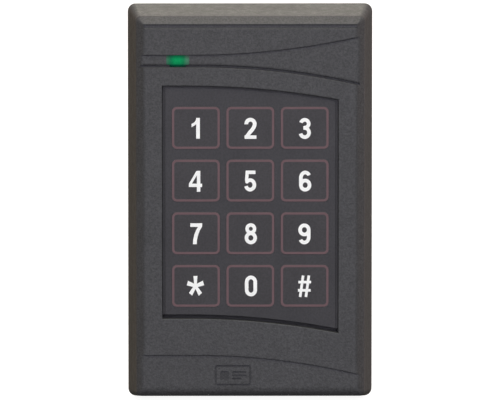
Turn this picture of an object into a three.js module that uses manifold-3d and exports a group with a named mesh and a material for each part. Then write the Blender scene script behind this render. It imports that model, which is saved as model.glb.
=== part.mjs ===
// Keypad access reader: a wall-mounted proximity reader with a 12-key pad.
//
// Frame: millimetres, +X to the right, +Z up, the face looks along -Y.
// The origin is the centre of the back face, which rests on the wall (y = 0).
//
// Bodies: the base (tray, boards, antenna, keypad frame), the front cover that
// tilts forward on its top hooks, and twelve keys that each travel along +Y.

import * as THREE from 'three';
import { mergeVertices } from 'three/addons/utils/BufferGeometryUtils.js';
import Module from 'manifold-3d';

// ---------------------------------------------------------------- dimensions

const FACE_Y = -19.0;            // front of the raised plates
const SHOULDER_Y = -17.0;        // where the draft wall meets the chamfer
const RECESS_Y = -18.1;          // lower area and keypad face
const BAND_Y = -18.4;            // light band

const COVER = {
  rimY: -0.3,                    // the rim stops just short of the wall
  back: [37.5, 60.75, 1.7],      // half width, half height, corner radius
  shoulder: [34.95, 58.45, 1.6],
  face: [32.35, 55.95, 0.35],
  wall: 2.05,
  innerY: -16.4,                 // inner plane of the front wall
};

// Curved lines of the face: straight up to x0, then a parabola.
const CURVES = {
  bandTop: { z: 46.65, x0: -18, k: 0.002127 },      // rises to the right
  bandBottom: { z: 43.72, x0: -16, k: -0.0023 },    // falls to the right
  padTop: { z: 37.0, x0: -19, k: -0.00202 },
  padBottom: { z: -33.65, x0: -19, k: -0.002115 },
  lowerEdge: { z: -45.65, x0: -16, k: -0.00246 },
};

const REVEAL = { height: 1.1, depth: 0.8 };          // groove under the top chamfer
const BAND_GROOVE = { width: 0.9, depth: 1.0 };      // groove under the light band
const OPENING = { halfX: 27.0, top: 0.35, bottom: 0.65 };
const PAD = { halfX: 26.0, top: 0.55, bottom: 0.65 };

const LENS = { x: -21.95, z: 45.35, w: 7.0, h: 2.1 };

const PITCH = { x: 16.6, z: 16.2 };
const KEY = {
  w: 14.4, h: 12.55, r: 1.5, frontY: -18.15, flangeFrontY: -15.2, flangeBackY: -14.4,
  flangeW: 15.2, flangeH: 14.0, stemR: 1.6, stemEndY: -11.85,
};
const WINDOW = { w: 15.0, h: 13.15, r: 1.8 };
const POCKET = { w: 15.8, h: 14.6, r: 1.0 };

const PLATE = { halfX: 34.7, halfZ: 58.0, t: 2.2 };   // base plate
const TRAY = { halfX: 33.4, halfZ: 56.6, t: 1.6, frontY: -9.0 };
const SLOT = { z: 41.65, w: 4.8, len: 9.0 };          // wall screws, 83.3 mm apart
const OUTLET = { x: 0, z: -14, r: 5.2 };
const POSTS = [[-25, 39.9], [25, 39.9], [-25, -41.5], [25, -41.5]];
const BOSSES = [[-12, 48.6], [25.6, 48.6], [-25.6, -48.6], [25.6, -48.6]];
const HOOKS_X = [-20, 20];

const BOARD = { back: -4.4, front: -6.0, halfX: 31.2, halfZ: 54.3 };
const KEYBOARD = { back: -9.0, front: -10.6, halfX: 27.6, top: 36.0, bottom: -37.5 };
const FRAME = { back: -10.9, flange: -12.9, front: -17.3, halfX: 28.2, top: 43.2, bottom: -44.8 };

// ---------------------------------------------------------------- helpers

const wasm = await Module();
wasm.setup();

function solid(geometry) {
  const g = geometry.clone();
  for (const name of Object.keys(g.attributes)) if (name !== 'position') g.deleteAttribute(name);
  const merged = mergeVertices(g, 1e-5);
  return new wasm.Manifold(new wasm.Mesh({
    numProp: 3,
    vertProperties: new Float32Array(merged.attributes.position.array),
    triVerts: new Uint32Array(merged.index.array),
  }));
}

function geometryOf(shape) {
  const mesh = shape.getMesh();
  const g = new THREE.BufferGeometry();
  g.setAttribute('position', new THREE.BufferAttribute(new Float32Array(mesh.vertProperties), 3));
  g.setIndex(new THREE.BufferAttribute(new Uint32Array(mesh.triVerts), 1));
  return g;
}

const joinAll = (list) => list.reduce((a, b) => a.add(b));
const cutAll = (base, list) => list.reduce((a, b) => a.subtract(b), base);

// Outline of a rounded rectangle, counter-clockwise seen from the front.
function roundRect(hx, hz, r, n = 4, cx = 0, cz = 0) {
  const pts = [];
  const corners = [[1, -1, -90], [1, 1, 0], [-1, 1, 90], [-1, -1, 180]];
  for (const [sx, sz, a0] of corners) {
    for (let i = 0; i <= n; i++) {
      const a = THREE.MathUtils.degToRad(a0 + (90 * i) / n);
      pts.push([cx + sx * (hx - r) + r * Math.cos(a), cz + sz * (hz - r) + r * Math.sin(a)]);
    }
  }
  return pts;
}

function disc(cx, cz, r, n = 16) {
  const pts = [];
  for (let i = 0; i < n; i++) {
    const a = (2 * Math.PI * (i + 0.5)) / n;
    pts.push([cx + r * Math.cos(a), cz + r * Math.sin(a)]);
  }
  return pts;
}

function slotOutline(cx, cz, w, len, n = 6) {
  const r = w / 2;
  const pts = [];
  for (let i = 0; i <= n; i++) {
    const a = (Math.PI * i) / n;
    pts.push([cx + r * Math.cos(a), cz + len / 2 - r + r * Math.sin(a)]);
  }
  for (let i = 0; i <= n; i++) {
    const a = Math.PI + (Math.PI * i) / n;
    pts.push([cx + r * Math.cos(a), cz - len / 2 + r + r * Math.sin(a)]);
  }
  return pts;
}

// A prism along Y between the back plane y0 and the front plane y1.
function prismGeometry(points, y0, y1) {
  const shape = new THREE.Shape(points.map(([x, z]) => new THREE.Vector2(x, z)));
  const g = new THREE.ExtrudeGeometry(shape, { depth: y0 - y1, bevelEnabled: false, steps: 1 });
  g.rotateX(Math.PI / 2);
  g.translate(0, y0, 0);
  return g;
}
const prism = (points, y0, y1) => solid(prismGeometry(points, y0, y1));
const block = (x0, x1, y0, y1, z0, z1) => prism([[x0, z0], [x1, z0], [x1, z1], [x0, z1]], y0, y1);

// A solid through matching outlines, each at its own y, from back to front.
function loft(sections) {
  const n = sections[0].pts.length;
  const pos = [];
  for (const s of sections) for (const [x, z] of s.pts) pos.push(x, s.y, z);
  const index = [];
  for (let i = 0; i + 1 < sections.length; i++) {
    for (let j = 0; j < n; j++) {
      const k = (j + 1) % n;
      const a = i * n + j, b = i * n + k, c = (i + 1) * n + k, d = (i + 1) * n + j;
      index.push(a, b, c, a, c, d);
    }
  }
  const cap = (s, base, flip) => {
    const tris = THREE.ShapeUtils.triangulateShape(s.pts.map(([x, z]) => new THREE.Vector2(x, z)), []);
    for (const [a, b, c] of tris) index.push(base + a, base + (flip ? c : b), base + (flip ? b : c));
  };
  cap(sections[0], 0, true);
  cap(sections[sections.length - 1], (sections.length - 1) * n, false);
  const g = new THREE.BufferGeometry();
  g.setAttribute('position', new THREE.BufferAttribute(new Float32Array(pos), 3));
  g.setIndex(index);
  return solid(g);
}

const curveZ = (c, x) => c.z + c.k * Math.max(0, x - c.x0) ** 2;

// Points of a curve from x0 to x1, with the straight part in one step.
function curvePoints(c, x0, x1, dz = 0, n = 12) {
  const pts = [];
  if (x0 < c.x0) pts.push([x0, c.z + dz]);
  const s = Math.max(x0, c.x0);
  for (let i = 0; i <= n; i++) {
    const x = s + ((x1 - s) * i) / n;
    pts.push([x, curveZ(c, x) + dz]);
  }
  return pts;
}

// Area between a lower and an upper boundary, both running left to right.
const between = (lower, upper) => [...lower, ...[...upper].reverse()];

const materials = {
  cover: [0x4b4b4e, 0.62, 0],
  base: [0x3c3c3e, 0.7, 0],
  overlay: [0x3a393c, 0.38, 0],
  key: [0x403e41, 0.42, 0],
  lens: [0x14864f, 0.2, 0],
  foam: [0x2a2a2a, 0.95, 0],
  rubber: [0x1c1c1c, 0.8, 0],
  resin: [0x17181c, 0.25, 0],
  laminate: [0x1f5a34, 0.45, 0],
  former: [0xd8d2c2, 0.6, 0],
  copper: [0xb5652f, 0.35, 1],
  steel: [0xb9bcc0, 0.3, 1],
  can: [0xaeb2b6, 0.35, 1],
  chip: [0x1b1b1d, 0.5, 0],
  plug: [0xe9e6da, 0.55, 0],
};

const reader = new THREE.Group();
const baseBody = new THREE.Group();
const coverBody = new THREE.Group();
const keyBodies = new THREE.Group();
reader.add(baseBody, coverBody, keyBodies);

function place(group, name, shape, look, position = [0, 0, 0], rotation = [0, 0, 0]) {
  const [color, roughness, metalness] = materials[look];
  const mesh = new THREE.Mesh(
    shape.isBufferGeometry ? shape : geometryOf(shape),
    new THREE.MeshStandardMaterial({ color, roughness, metalness }),
  );
  mesh.name = name;
  mesh.position.set(...position);
  mesh.rotation.set(...rotation);
  group.add(mesh);
  return mesh;
}

// ---------------------------------------------------------------- front cover

const outline = ([hx, hz, r], inset = 0, n = 4) =>
  roundRect(hx - inset, hz - inset, Math.max(r - inset, 0.2), n);

const lerpOutline = (y) => {
  const t = y / SHOULDER_Y;
  return [0, 1, 2].map((i) => COVER.back[i] + (COVER.shoulder[i] - COVER.back[i]) * t);
};

const coverOuter = loft([
  { y: COVER.rimY, pts: outline(COVER.back) },
  { y: SHOULDER_Y, pts: outline(COVER.shoulder) },
  { y: FACE_Y, pts: outline(COVER.face) },
]);
const coverInner = loft([
  { y: 1.0, pts: outline(lerpOutline(0), COVER.wall - 0.12) },
  { y: COVER.innerY, pts: outline(lerpOutline(COVER.innerY), COVER.wall) },
]);

const bandArea = prism(
  between(curvePoints(CURVES.bandBottom, -40, 40), curvePoints(CURVES.bandTop, -40, 40)),
  BAND_Y, FACE_Y - 1,
);
const bandGroove = prism(
  between(
    curvePoints(CURVES.bandBottom, -33.4, 33.4, -BAND_GROOVE.width / 2),
    curvePoints(CURVES.bandBottom, -33.4, 33.4, BAND_GROOVE.width / 2),
  ),
  BAND_Y + BAND_GROOVE.depth, FACE_Y - 1,
);
const lowerArea = prism(
  between([[-40, -70], [40, -70]], curvePoints(CURVES.lowerEdge, -40, 40)),
  RECESS_Y, FACE_Y - 1,
);
const topReveal = block(
  -COVER.face[0], COVER.face[0], FACE_Y + REVEAL.depth, FACE_Y - 1,
  COVER.face[1] - REVEAL.height, COVER.face[1],
);
const keypadOpening = prism(
  between(
    curvePoints(CURVES.padBottom, -OPENING.halfX, OPENING.halfX, -OPENING.bottom),
    curvePoints(CURVES.padTop, -OPENING.halfX, OPENING.halfX, OPENING.top),
  ),
  COVER.innerY + 1, FACE_Y - 1,
);
const lensOpening = prism(
  roundRect(LENS.w / 2 + 0.3, LENS.h / 2 + 0.3, 0.5, 2, LENS.x, LENS.z),
  COVER.innerY + 1, FACE_Y - 1,
);
// Two tongues inside the top wall sit in the notches of the base plate.
const hookTongues = HOOKS_X.map((x) => block(x - 4.5, x + 4.5, -0.6, -1.8, 57.0, 59.2));

const frontCover = cutAll(coverOuter.subtract(coverInner), [
  bandArea, bandGroove, lowerArea, topReveal, keypadOpening, lensOpening,
]).add(joinAll(hookTongues));
place(coverBody, 'front_cover', frontCover, 'cover');

// Light pipe: window flush with the band, a flange behind the wall, a stem to the lamp.
const lens = joinAll([
  prism(roundRect(LENS.w / 2, LENS.h / 2, 0.4, 3, LENS.x, LENS.z), -15.9, BAND_Y - 0.05),
  prism(roundRect(LENS.w / 2 + 1.0, LENS.h / 2 + 0.9, 0.6, 2, LENS.x, LENS.z), -15.2, -16.1),
  prism(roundRect(2.4, 1.1, 0.4, 2, LENS.x, LENS.z), -10.6, -15.4),
]);
place(coverBody, 'led_lens', lens, 'lens');

// ---------------------------------------------------------------- base

const trayWall = prism(roundRect(TRAY.halfX, TRAY.halfZ, 2.5, 3), -1.0, TRAY.frontY)
  .subtract(prism(roundRect(TRAY.halfX - TRAY.t, TRAY.halfZ - TRAY.t, 1.6, 3), -PLATE.t, TRAY.frontY - 1));
const posts = POSTS.map(([x, z]) => prism(disc(x, z, 2.5, 12), -1.5, -10.6));
const bosses = BOSSES.map(([x, z]) => prism(disc(x, z, 2.5, 12), -1.5, -4.1));
const gasketGroove = prism(roundRect(33.2, 56.2, 2.4, 3), 1, -1.2)
  .subtract(prism(roundRect(30.6, 53.6, 1.6, 3), 1.5, -1.7));

const baseHousing = cutAll(
  joinAll([prism(roundRect(PLATE.halfX, PLATE.halfZ, 2.2, 3), 0, -PLATE.t), trayWall, ...posts, ...bosses]),
  [
    gasketGroove,
    ...[-1, 1].map((s) => prism(slotOutline(0, s * SLOT.z, SLOT.w, SLOT.len), 1, -5)),
    prism(disc(OUTLET.x, OUTLET.z, OUTLET.r, 20), 1, -5),
    ...POSTS.map(([x, z]) => prism(disc(x, z, 1.4, 8), -4.2, -12)),
    ...BOSSES.map(([x, z]) => prism(disc(x, z, 1.4, 8), -1.4, -6)),
    ...HOOKS_X.map((x) => block(x - 4.9, x + 4.9, 1, -5, 56.7, 60)),
  ],
);
place(baseBody, 'base_housing', baseHousing, 'base');

const wallGasket = prism(roundRect(32.9, 55.9, 2.1, 3), 0, -0.9)
  .subtract(prism(roundRect(30.9, 53.9, 1.9, 3), 1, -2));
place(baseBody, 'wall_gasket', wallGasket, 'foam');

const grommet = new THREE.LatheGeometry(
  [[3.5, 0], [4.9, 0], [4.9, 2.5], [6.4, 2.5], [6.4, 3.2], [6.0, 3.5], [3.8, 3.5], [3.5, 3.2], [3.5, 0]]
    .map(([r, h]) => new THREE.Vector2(r, h)),
  20,
);
place(baseBody, 'cable_grommet', solid(grommet), 'rubber',
  [OUTLET.x, 0, OUTLET.z], [Math.PI, 0, 0]);

const boardCuts = (y0, y1, slack) => [
  ...POSTS.map(([x, z]) => prism(disc(x, z, 2.9 + slack, 12), y0, y1)),
  ...[-1, 1].map((s) => prism(roundRect(5.5 + slack, 7.5 + slack, 2, 2, 0, s * SLOT.z), y0, y1)),
];

const potting = cutAll(prism(roundRect(31.4, 54.6, 1.2, 3), -2.5, -4.1), [
  ...boardCuts(0, -8, 0.3),
  ...BOSSES.map(([x, z]) => prism(disc(x, z, 2.9, 12), 0, -8)),
  prism(disc(OUTLET.x, OUTLET.z, 7.0, 16), 0, -8),
]);
place(baseBody, 'potting_resin', potting, 'resin');

const mainBoard = cutAll(prism(roundRect(BOARD.halfX, BOARD.halfZ, 1.2, 3), BOARD.back, BOARD.front), [
  ...boardCuts(0, -8, 0),
  ...BOSSES.map(([x, z]) => prism(disc(x, z, 1.4, 10), 0, -8)),
  prism(disc(OUTLET.x, OUTLET.z, 4.6, 16), 0, -8),
]);
place(baseBody, 'main_pcb', mainBoard, 'laminate');

const ring = (ox, oz, ro, ix, iz, ri, y0, y1, n = 4) =>
  prism(roundRect(ox, oz, ro, n), y0, y1).subtract(prism(roundRect(ix, iz, ri, n), y0 + 1, y1 - 1));

const former = ring(31.4, 54.4, 3.0, 28.6, 51.6, 1.6, -6.3, -9.5)
  .subtract(ring(34, 57, 3.0, 29.3, 52.3, 2.0, -6.7, -9.1));
place(baseBody, 'coil_former', former, 'former');
place(baseBody, 'antenna_coil', ring(31.2, 54.2, 2.9, 29.6, 52.6, 2.2, -7.0, -8.8), 'copper');

// ---------------------------------------------------------------- keypad

const COLUMNS = [-PITCH.x, 0, PITCH.x];
const ROWS = [1.5, 0.5, -0.5, -1.5].map((k) => k * PITCH.z);
const KEY_NAMES = [['1', '2', '3'], ['4', '5', '6'], ['7', '8', '9'], ['star', '0', 'hash']];
const cells = ROWS.flatMap((z, i) => COLUMNS.map((x, j) => ({ name: KEY_NAMES[i][j], x, z })));

const padOutline = (inset) => between(
  curvePoints(CURVES.padBottom, -PAD.halfX + inset, PAD.halfX - inset, PAD.bottom + inset, 10),
  curvePoints(CURVES.padTop, -PAD.halfX + inset, PAD.halfX - inset, -PAD.top - inset, 10),
);
const windowAt = (c, w, y0, y1, n) => prism(roundRect(w.w / 2, w.h / 2, w.r, n, c.x, c.z), y0, y1);

// The raised face has a thinner rim that closes the groove round it.
const overlayRim = prism(between(
  curvePoints(CURVES.padBottom, -OPENING.halfX + 0.15, OPENING.halfX - 0.15, -OPENING.bottom + 0.35, 10),
  curvePoints(CURVES.padTop, -OPENING.halfX + 0.15, OPENING.halfX - 0.15, OPENING.top - 0.15, 10),
), FRAME.front - 0.02, -17.75);
const overlay = cutAll(joinAll([prism(padOutline(0), FRAME.front - 0.02, RECESS_Y), overlayRim]),
  cells.map((c) => windowAt(c, WINDOW, -10, -20, 3)));
place(baseBody, 'keypad_overlay', overlay, 'overlay');

const flangePlate = cutAll(
  prism(roundRect(FRAME.halfX, (FRAME.top - FRAME.bottom) / 2, 2, 2, 0, (FRAME.top + FRAME.bottom) / 2),
    FRAME.back, FRAME.flange),
  [block(-9, 9, 0, -20, 38.2, 60), block(-9, 9, 0, -20, -60, -38.4)],
);
const STAKES = [[-26.8, 15], [26.8, 15], [-26.8, -15], [26.8, -15]];
const keypadFrame = cutAll(joinAll([flangePlate, prism(padOutline(0.2), FRAME.back, FRAME.front)]), [
  ...cells.map((c) => windowAt(c, WINDOW, -10, -20, 2)),
  ...cells.map((c) => windowAt(c, POCKET, -10, -15.5, 1)),
  ...POSTS.map(([x, z]) => prism(disc(x, z, 1.4, 8), -5, -20)),
]).add(joinAll(STAKES.map(([x, z]) => prism(disc(x, z, 0.55, 8), -8.6, -11.2))));
place(baseBody, 'keypad_frame', keypadFrame, 'base');

const keyBoard = cutAll(
  prism(roundRect(KEYBOARD.halfX, (KEYBOARD.top - KEYBOARD.bottom) / 2, 1, 2, 0, (KEYBOARD.top + KEYBOARD.bottom) / 2),
    KEYBOARD.back, KEYBOARD.front),
  STAKES.map(([x, z]) => prism(disc(x, z, 0.5 + 0.35, 8), 0, -20)),
);
place(baseBody, 'keypad_pcb', keyBoard, 'laminate');

// Sprung metal snap dome, open towards the board.
const dome = new THREE.LatheGeometry(
  [[0, 0.9], [1.5, 0.72], [3.0, 0], [2.75, 0], [1.45, 0.55], [0, 0.74]]
    .map(([r, h]) => new THREE.Vector2(r, h)).reverse(),
  10,
);
const domeGeometry = geometryOf(solid(dome));
for (const c of cells) {
  place(baseBody, `dome_${c.name}`, domeGeometry.clone(), 'steel',
    [c.x, KEYBOARD.front - 0.05, c.z], [Math.PI, 0, 0]);
}

// Key: face pad, retaining flange and the stem that presses the dome.
const keyGeometry = geometryOf(joinAll([
  prism(roundRect(KEY.w / 2, KEY.h / 2, KEY.r, 3), KEY.flangeBackY - 0.2, KEY.frontY),
  prism(roundRect(KEY.flangeW / 2, KEY.flangeH / 2, 0.8, 1), KEY.flangeBackY, KEY.flangeFrontY),
  prism(disc(0, 0, KEY.stemR, 10), KEY.stemEndY, KEY.flangeFrontY),
]));
for (const c of cells) {
  place(keyBodies, `key_${c.name}`, keyGeometry.clone(), 'key', [c.x, 0, c.z]);
}

// ---------------------------------------------------------------- board parts

const PART_Y = BOARD.front - 0.3;

// A moulded package: its body tapers slightly away from the board.
const packageBody = (w, h, t) => loft([
  { y: 0, pts: roundRect(w / 2 - 0.15, h / 2 - 0.15, 0.15, 1) },
  { y: -t * 0.5, pts: roundRect(w / 2, h / 2, 0.15, 1) },
  { y: -t, pts: roundRect(w / 2 - 0.3, h / 2 - 0.3, 0.15, 1) },
]);
// Gull-wing legs along two or four sides, each joined to the body.
function legs(w, h, pitch, count, width, sides) {
  const list = [];
  for (let i = 0; i < count; i++) {
    const s = (i - (count - 1) / 2) * pitch;
    if (sides.includes('z')) for (const d of [-1, 1]) {
      list.push(block(s - width / 2, s + width / 2, -0.05, -0.7,
        d > 0 ? h / 2 - 0.5 : -h / 2 - 0.9, d > 0 ? h / 2 + 0.9 : -h / 2 + 0.5));
    }
    if (sides.includes('x')) for (const d of [-1, 1]) {
      list.push(block(d > 0 ? w / 2 - 0.5 : -w / 2 - 0.9, d > 0 ? w / 2 + 0.9 : -w / 2 + 0.5, -0.05, -0.7,
        s - width / 2, s + width / 2));
    }
  }
  return list;
}

place(baseBody, 'microcontroller',
  joinAll([packageBody(10, 10, 1.6), ...legs(10, 10, 1.8, 5, 0.7, 'xz')]), 'chip', [10, PART_Y, -12]);
place(baseBody, 'reader_chip',
  joinAll([packageBody(10.3, 7.5, 2.2), ...legs(10.3, 7.5, 1.8, 5, 0.7, 'z')]), 'chip', [-12, PART_Y, 10]);
place(baseBody, 'voltage_regulator',
  joinAll([packageBody(6.5, 6.0, 2.2), ...legs(6.5, 6.0, 2.3, 3, 0.8, 'z')]), 'chip', [11.5, PART_Y, 47]);
place(baseBody, 'crystal', prism(roundRect(5.2, 1.95, 1.9, 4), 0, -2.3), 'can', [11, PART_Y, 6]);

const can = new THREE.LatheGeometry(
  [[0, 0], [2.5, 0], [2.5, 0.9], [2.3, 1.2], [2.5, 1.5], [2.5, 4.7], [2.2, 5.0], [0, 5.0]]
    .map(([r, h]) => new THREE.Vector2(r, h)),
  14,
);
const canGeometry = geometryOf(solid(can));
place(baseBody, 'capacitor_1', canGeometry.clone(), 'can', [18.6, PART_Y, 47], [Math.PI, 0, 0]);
place(baseBody, 'capacitor_2', canGeometry.clone(), 'can', [4.0, PART_Y, -52 + 3.4], [Math.PI, 0, 0]);

const sounder = new THREE.LatheGeometry(
  [[0, 0], [4.5, 0], [4.5, 3.6], [4.1, 4.0], [1.0, 4.0], [1.0, 3.2], [0, 3.2]]
    .map(([r, h]) => new THREE.Vector2(r, h)),
  18,
);
place(baseBody, 'buzzer', solid(sounder), 'chip', [13, PART_Y, -46.8], [Math.PI, 0, 0]);

const lampProfile = [[0, 0], [2.4, 0], [2.4, 1.0], [1.9, 1.0], [1.9, 2.2], [1.5, 3.1], [0.8, 3.6], [0, 3.75]]
  .map(([r, h]) => new THREE.Vector2(r, h));
place(baseBody, 'status_led', solid(new THREE.LatheGeometry(lampProfile, 14)), 'lens',
  [LENS.x, PART_Y, LENS.z], [Math.PI, 0, 0]);

// Stacking header between the two boards.
place(baseBody, 'board_connector', joinAll([
  block(-7.6, 7.6, 0, -2.2, -2.6, 2.6),
  ...[-2.5, -1.5, -0.5, 0.5, 1.5, 2.5].flatMap((i) => [-1, 1].map((s) =>
    block(i * 2.54 - 0.35, i * 2.54 + 0.35, -2.1, -2.4, s * 1.27 - 0.35, s * 1.27 + 0.35))),
]), 'chip', [-10, PART_Y, 29]);

// Five-way socket for the wall cable's cores.
place(baseBody, 'cable_connector', cutAll(block(-7.0, 7.0, 0, -4.0, -3.0, 3.0), [
  ...[-2, -1, 0, 1, 2].map((i) => block(i * 2.5 - 0.9, i * 2.5 + 0.9, -1.2, -5, -1.9, 1.9)),
]), 'plug', [-12, PART_Y, -47]);

// Pan-head screw, head towards the front, with a driver slot.
function screwGeometry(headR, headH, shankR, shankLen) {
  const profile = [[0, -shankLen], [shankR * 0.6, -shankLen], [shankR, -shankLen + 0.5], [shankR, 0],
    [headR, 0], [headR, headH * 0.55], [headR * 0.7, headH], [0, headH]]
    .map(([r, h]) => new THREE.Vector2(r, h));
  const body = solid(new THREE.LatheGeometry(profile, 9).rotateX(Math.PI));
  return geometryOf(body.subtract(block(-headR * 0.75, headR * 0.75, -headH * 0.45, -headH - 1, -0.3, 0.3)));
}
const boardScrew = screwGeometry(2.3, 1.5, 1.1, 4.6);
BOSSES.forEach(([x, z], i) => place(baseBody, `board_screw_${i + 1}`, boardScrew.clone(), 'steel',
  [x, BOARD.front - 0.3, z]));
const frameScrew = screwGeometry(2.3, 1.5, 1.1, 8.0);
POSTS.forEach(([x, z], i) => place(baseBody, `keypad_screw_${i + 1}`, frameScrew.clone(), 'steel',
  [x, FRAME.flange - 0.3, z]));

export default reader;
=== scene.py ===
import math

import bpy
import bmesh
import numpy as np
from mathutils import Matrix, Vector


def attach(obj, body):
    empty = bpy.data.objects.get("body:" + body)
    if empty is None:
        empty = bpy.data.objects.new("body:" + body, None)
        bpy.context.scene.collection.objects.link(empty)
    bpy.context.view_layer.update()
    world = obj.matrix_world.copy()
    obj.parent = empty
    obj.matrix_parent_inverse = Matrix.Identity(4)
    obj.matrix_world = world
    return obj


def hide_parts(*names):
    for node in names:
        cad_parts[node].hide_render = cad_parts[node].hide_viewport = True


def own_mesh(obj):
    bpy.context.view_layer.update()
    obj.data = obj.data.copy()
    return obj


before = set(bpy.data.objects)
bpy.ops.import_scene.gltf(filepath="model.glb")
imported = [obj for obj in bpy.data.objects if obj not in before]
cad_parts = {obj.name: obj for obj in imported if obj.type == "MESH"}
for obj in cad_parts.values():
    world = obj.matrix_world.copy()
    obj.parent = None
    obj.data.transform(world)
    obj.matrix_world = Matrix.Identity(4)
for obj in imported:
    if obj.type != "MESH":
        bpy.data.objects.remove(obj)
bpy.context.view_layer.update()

# Lengths below are in millimetres unless a name says otherwise; meshes are
# brought to metres once, when they are finished.
MM = 0.001
scene = bpy.context.scene


# ------------------------------------------------------------------ face layout

FACE, RECESS, BAND, LOWER, SHOULDER, INNER = 19.0, 18.1, 18.45, 18.5, 17.0, 16.4
HX, HZ = 34.95, 58.45              # shoulder half sizes
BX, BZ, RB = 37.5, 60.75, 2.4      # rim half sizes and corner radius
RIM = 0.3
R_EDGE, R_SOFT = 0.17, 0.09         # rounding of the raised plates

BAND_TOP = (46.65, -18.0, 0.002127)
BAND_BOTTOM = (43.72, -16.0, -0.0023)
PAD_TOP = (37.0, -19.0, -0.00202)
PAD_BOTTOM = (-33.65, -19.0, -0.002115)
LOWER_EDGE = (-45.65, -16.0, -0.00246)

LENS = (-22.10, 45.26, 7.0, 2.66)
PITCH_X, PITCH_Z = 16.6, 16.2
COLUMNS = (-PITCH_X, 0.0, PITCH_X)
ROWS = tuple(k * PITCH_Z for k in (1.5, 0.5, -0.5, -1.5))
NAMES = (("1", "2", "3"), ("4", "5", "6"), ("7", "8", "9"), ("star", "0", "hash"))
CELLS = [(NAMES[i][j], COLUMNS[j], ROWS[i]) for i in range(4) for j in range(3)]


def cz(c, x):
    z0, x0, k = c
    return z0 + k * max(0.0, x - x0) ** 2


# ------------------------------------------------------------------ mesh tools

def mesh_object(name, verts, faces, smooth=35.0):
    me = bpy.data.meshes.new(name)
    me.from_pydata([tuple(v) for v in verts], [], [tuple(f) for f in faces])
    me.validate(clean_customdata=False)
    ob = bpy.data.objects.new(name, me)
    scene.collection.objects.link(ob)
    shade(ob, smooth)
    return ob


def shade(ob, degrees=35.0):
    me = ob.data
    me.polygons.foreach_set("use_smooth", [True] * len(me.polygons))
    me.set_sharp_from_angle(angle=math.radians(degrees))
    me.update()


def weigh(ob, degrees=35.0):
    """Flat areas keep flat shading; only the narrow rounded rims turn."""
    shade(ob, degrees)
    m = ob.modifiers.new("weighted", "WEIGHTED_NORMAL")
    m.mode, m.weight, m.keep_sharp = "FACE_AREA", 100, True
    baked(ob)


def clean(ob, dist=1e-4):
    bm = bmesh.new()
    bm.from_mesh(ob.data)
    bmesh.ops.remove_doubles(bm, verts=bm.verts, dist=dist)
    bmesh.ops.dissolve_degenerate(bm, edges=bm.edges, dist=1e-6)
    bmesh.ops.recalc_face_normals(bm, faces=bm.faces)
    bm.to_mesh(ob.data)
    bm.free()
    ob.data.update()


def to_metres(ob):
    ob.data.transform(Matrix.Scale(MM, 4))
    ob.data.update()
    return ob


def baked(ob):
    """Applies an object's modifiers to its mesh."""
    dg = bpy.context.evaluated_depsgraph_get()
    dg.update()
    me = bpy.data.meshes.new_from_object(ob.evaluated_get(dg))
    ob.modifiers.clear()
    old = ob.data
    ob.data = me
    me.name = ob.name
    if isinstance(old, bpy.types.Mesh):
        bpy.data.meshes.remove(old)
    return ob


def drop(ob):
    bpy.data.objects.remove(ob, do_unlink=True)


def boolean(ob, other, operation):
    m = ob.modifiers.new("cut", "BOOLEAN")
    m.operation, m.solver, m.object = operation, "EXACT", other
    baked(ob)
    drop(other)
    return ob


def round_rect(hx, hz, r, n=8, cx=0.0, cz_=0.0):
    pts = []
    for sx, sz, a0 in ((1, -1, -90), (1, 1, 0), (-1, 1, 90), (-1, -1, 180)):
        for i in range(n + 1):
            a = math.radians(a0 + 90.0 * i / n)
            pts.append((cx + sx * (hx - r) + r * math.cos(a), cz_ + sz * (hz - r) + r * math.sin(a)))
    return pts


def slab(name, loops, front, thick, bevel=0.0, steps=2):
    """A flat piece with rounded rims: outlines in (x, z), its front at y = -front."""
    cu = bpy.data.curves.new(name, "CURVE")
    cu.dimensions, cu.fill_mode = "2D", "BOTH"
    for pts in loops:
        sp = cu.splines.new("POLY")
        sp.points.add(len(pts) - 1)
        for p, (x, z) in zip(sp.points, pts):
            p.co = (x, z, 0.0, 1.0)
        sp.use_cyclic_u = True
    cu.extrude = thick / 2 - bevel
    cu.bevel_depth, cu.bevel_resolution, cu.offset = bevel, steps, -bevel
    tmp = bpy.data.objects.new(name + "_curve", cu)
    scene.collection.objects.link(tmp)
    dg = bpy.context.evaluated_depsgraph_get()
    dg.update()
    me = bpy.data.meshes.new_from_object(tmp.evaluated_get(dg))
    drop(tmp)
    bpy.data.curves.remove(cu)
    me.materials.clear()
    me.transform(Matrix.Translation((0, -front + thick / 2, 0)) @ Matrix.Rotation(math.pi / 2, 4, "X"))
    ob = bpy.data.objects.new(name, me)
    me.name = name
    scene.collection.objects.link(ob)
    clean(ob, 1e-4)
    shade(ob)
    return ob


def join(objs, name):
    """Several closed shells as one piece."""
    bm = bmesh.new()
    for o in objs:
        bm.from_mesh(o.data)
    me = bpy.data.meshes.new(name)
    bm.to_mesh(me)
    bm.free()
    ob = bpy.data.objects.new(name, me)
    scene.collection.objects.link(ob)
    for o in objs:
        drop(o)
    shade(ob)
    return ob


# ------------------------------------------------------------------ materials

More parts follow.
